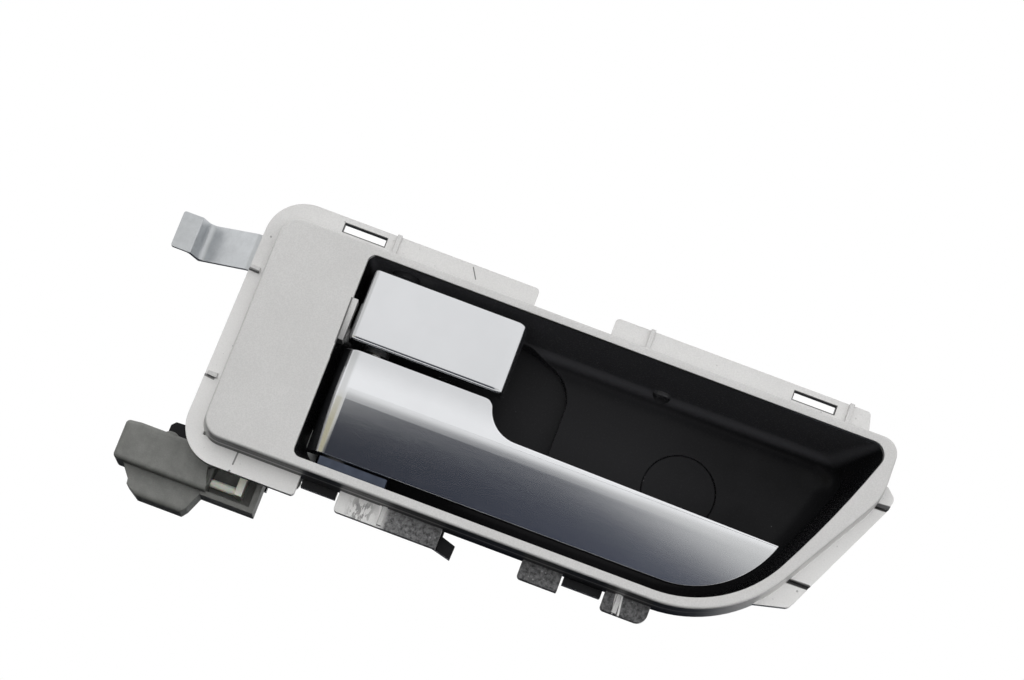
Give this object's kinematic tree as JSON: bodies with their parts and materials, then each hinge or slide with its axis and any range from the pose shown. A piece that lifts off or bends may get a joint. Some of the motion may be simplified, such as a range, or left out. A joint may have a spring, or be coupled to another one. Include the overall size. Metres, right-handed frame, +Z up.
{
  "type": "car interior door handle",
  "caption": "Recessed car door handle: a framed finger cup with a long pull lever and a short lock lever hinged on a shared pin, a screw cap, a cable bracket and a fixing strap.",
  "frame": {"origin": "on the fixing screw's axis, at the back face of the cup's screw boss, which seats on the door's inner panel", "axes": "+X along the handle from the hinge end to the grip's tip, +Y through the door towards its outside, +Z up"},
  "size_m": [0.2167, 0.0425, 0.0939],
  "materials": {
    "cast_bezel": "satin light grey over a casting",
    "black_moulding": "gloss black",
    "lever_chrome": "satin chrome",
    "pin_steel": "ground steel",
    "bush_nylon": "dark nylon",
    "bearing_plastic": "bluish grey",
    "plated_steel": "zinc plated",
    "spring_steel": "spring steel",
    "bumper_rubber": "soft black",
    "lens_clear": "frosted clear",
    "strap_zinc": "pale zinc",
    "bracket_grey": "matte mid grey",
    "retainer_nylon": "cream nylon"
  },
  "bodies": {
    "frame": {"bezel_frame": "cast_bezel", "handle_housing": "black_moulding", "pivot_pin": "pin_steel", "lower_bearing": "bearing_plastic", "lever_return_spring": "spring_steel", "lock_detent_spring": "spring_steel", "lock_bumper": "bumper_rubber", "screw_cap": "black_moulding", "light_lens": "lens_clear", "retaining_strap": "strap_zinc", "strap_rivets": "plated_steel", "housing_screws": "plated_steel", "bracket_screws": "plated_steel", "cable_bracket": "bracket_grey", "cable_retainer": "retainer_nylon"},
    "pull_lever": {"pull_lever": "lever_chrome", "release_crank": "plated_steel", "lever_bush_upper": "bush_nylon", "lever_bush_lower": "bush_nylon"},
    "lock_lever": {"lock_lever": "lever_chrome", "lock_crank": "plated_steel", "lock_bush_upper": "bush_nylon", "lock_bush_lower": "bush_nylon"}
  },
  "joints": [
    {"name": "pull_hinge", "type": "hinge", "parent": "frame", "child": "pull_lever", "pos_m": [-0.094, -0.027, 0], "axis": [0, 0, -1], "range_deg": [0, 40], "stiffness_Nm_per_rad": 0.6, "springref_deg": -34.38, "deforming": ["lever_return_spring"]},
    {"name": "lock_hinge", "type": "hinge", "parent": "frame", "child": "lock_lever", "pos_m": [-0.094, -0.027, 0], "axis": [0, 0, 1], "range_deg": [0, 12]}
  ]
}
